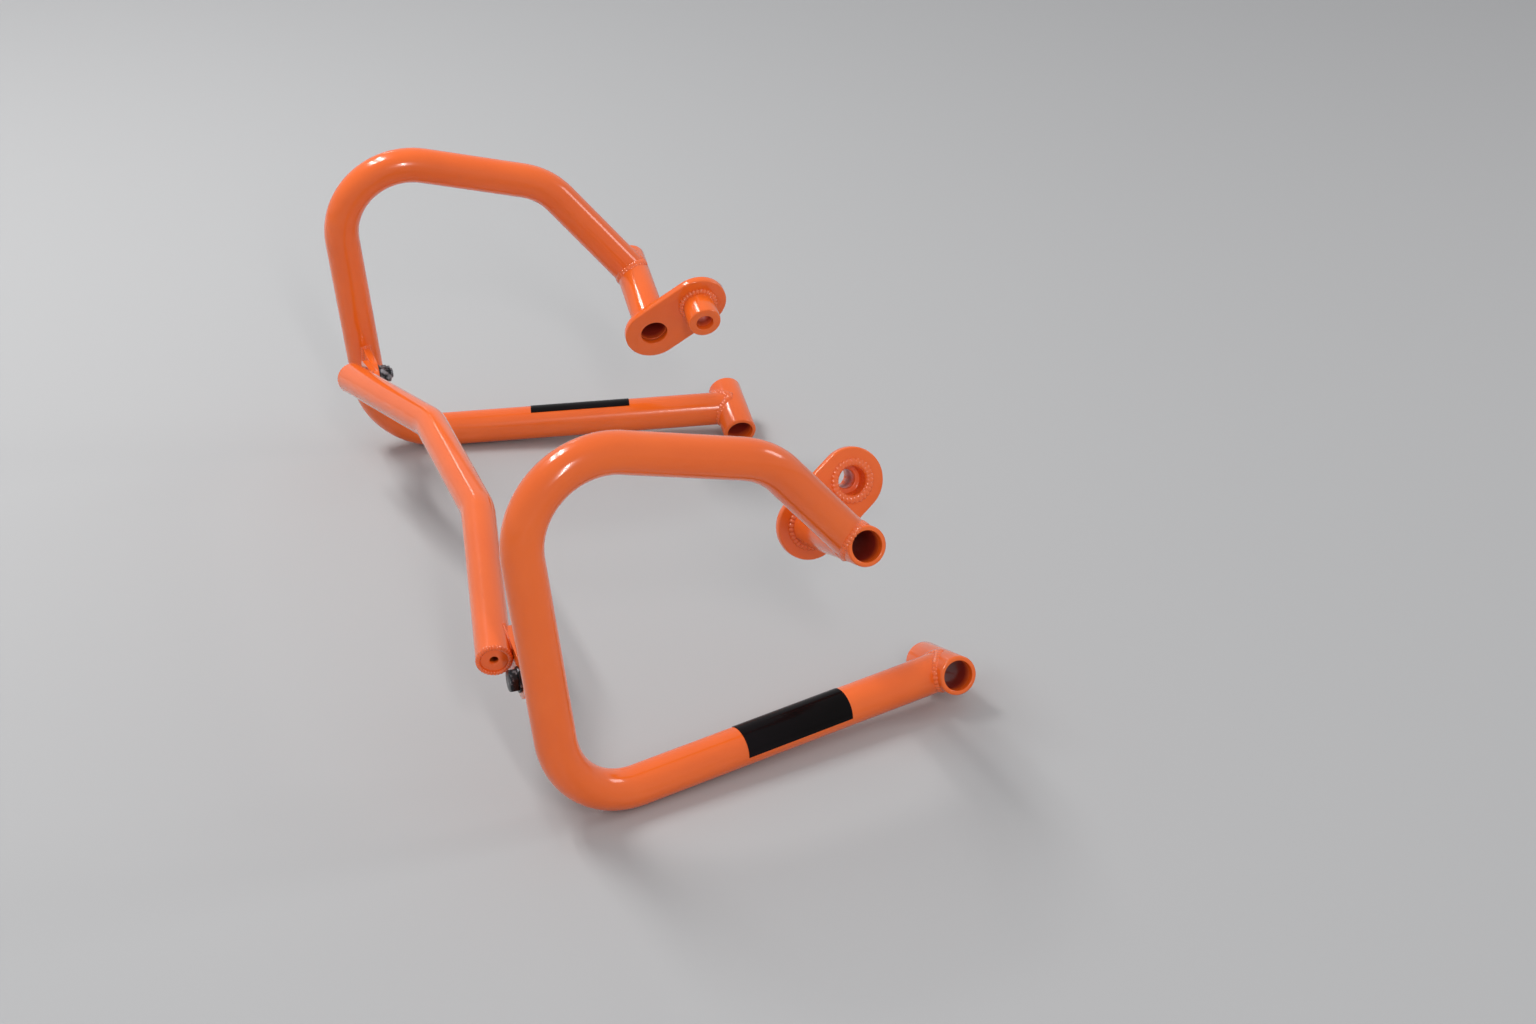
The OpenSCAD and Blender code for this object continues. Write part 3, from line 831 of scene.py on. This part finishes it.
def thread_core(middle_y):
    """A bar with a bevelled end, from inside the nut to the end of the bolt."""
    bpy.ops.object.select_all(action="DESELECT")
    bpy.ops.mesh.primitive_cylinder_add(
        vertices=32, radius=CORE_R, depth=THREAD_START - BOLT_END,
        location=((THREAD_START + BOLT_END) / 2, middle_y, BOLT.z), rotation=(0, pi / 2, 0))
    core = alone(bpy.context.object)
    bpy.ops.object.transform_apply(location=True, rotation=True, scale=True)
    bpy.ops.object.mode_set(mode="EDIT")
    bpy.ops.mesh.select_all(action="DESELECT")
    bpy.ops.object.mode_set(mode="OBJECT")
    for face in core.data.polygons:
        face.select = face.normal.x < -0.9  # the outer end, which faces backwards
    bpy.ops.object.mode_set(mode="EDIT")
    bpy.ops.mesh.bevel(offset=CORE_BEVEL, segments=2, affect="EDGES")
    bpy.ops.object.mode_set(mode="OBJECT")
    return core


# %% Helper: the tooth that winds round it
PITCH = 1.25 * MM
TOOTH_HALF, ROOT_R, CREST_R = 0.55 * MM, 3.35 * MM, 3.97 * MM
TURNS, THREAD_RUN_OUT = 3, 0.75 * MM
ROUND_STEPS, THREAD_SMOOTH_ANGLE = 32, radians(25)


def thread_tooth(middle_y):
    """A triangle turned round the bolt's axis and moved one pitch along with each turn."""
    bpy.ops.object.select_all(action="DESELECT")
    bpy.ops.mesh.primitive_circle_add(vertices=3, radius=TOOTH_HALF, fill_type="NOTHING",
                                      location=(0, 0, 0))
    tooth = alone(bpy.context.object)
    tooth.data.vertices[0].co = Vector((-TOOTH_HALF, 0, ROOT_R))
    tooth.data.vertices[1].co = Vector((0.0, 0, CREST_R))
    tooth.data.vertices[2].co = Vector((TOOTH_HALF, 0, ROOT_R))
    screw = tooth.modifiers.new("thread", "SCREW")
    screw.axis = "X"
    screw.angle = 2 * pi
    screw.screw_offset = PITCH
    screw.iterations = TURNS
    screw.steps = screw.render_steps = ROUND_STEPS
    screw.use_merge_vertices = True
    bpy.ops.object.modifier_apply(modifier=screw.name)
    bpy.ops.object.mode_set(mode="EDIT")
    bpy.ops.mesh.select_all(action="SELECT")
    bpy.ops.mesh.fill_holes(sides=3)
    bpy.ops.mesh.normals_make_consistent(inside=False)
    bpy.ops.object.mode_set(mode="OBJECT")
    tooth.data.transform(Matrix.Translation((BOLT_END + THREAD_RUN_OUT, middle_y, BOLT.z)))
    return tooth


# %% The threaded ends
for side, sign in SIDES:
    end = thread_core(BOLT.y * sign)
    thread_tooth(BOLT.y * sign)
    end.select_set(True)
    bpy.context.view_layer.objects.active = end
    bpy.ops.object.join()
    end.name = f"{side}_bolt_thread"
    bpy.ops.object.shade_smooth_by_angle(angle=THREAD_SMOOTH_ANGLE)
    dress(end, rubbed_zinc)
    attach(end, "root")
    print(end.name, len(end.data.polygons), "faces")

# %% [markdown]
# ## Labels
#
# A black gloss film is wrapped round each lower rail.  The real one is printed, which is
# left off here, so the film is plain.  It is thin enough to show the orange peel of the
# coat beneath it, softened, and a few tiny specks of trapped dust.  A new sheet could be
# wrapped round the rail, but the CAD label already lies there at the right thickness,
# so it only gets its finish: nearly black plastic under a thin clear layer.

# %% Label film
FILM_THIN, FILM_DEEP = (0.004, 0.003, 0.003, 1), (0.007, 0.005, 0.006, 1)
LABEL_PEEL_SIZE, LABEL_PEEL_HEIGHT = 6 * MM, 0.02 * MM
LABEL_SHINE, LABEL_GLOSS, LABEL_CLEAR_ROUGHNESS = 0.06, 0.05, 0.08

label_film, tree, shader, place = new_material("label film")
under = placed(tree, film_group, Place=place, Peel_Size=LABEL_PEEL_SIZE)
tree.links.new(mix_colour(tree, under["Depth"], FILM_THIN, FILM_DEEP),
               shader.inputs["Base Color"])
tree.links.new(under["Roughness"], shader.inputs["Roughness"])
ripple(tree, shader, under["Height"], LABEL_PEEL_HEIGHT)
shader.inputs["Specular IOR Level"].default_value = LABEL_SHINE
shader.inputs["Coat Weight"].default_value = LABEL_GLOSS
shader.inputs["Coat Roughness"].default_value = LABEL_CLEAR_ROUGHNESS
for side, sign in SIDES:
    for place in nodes[f"{side}_label"].material_slots:
        place.material = label_film
    print(side, "label dressed")
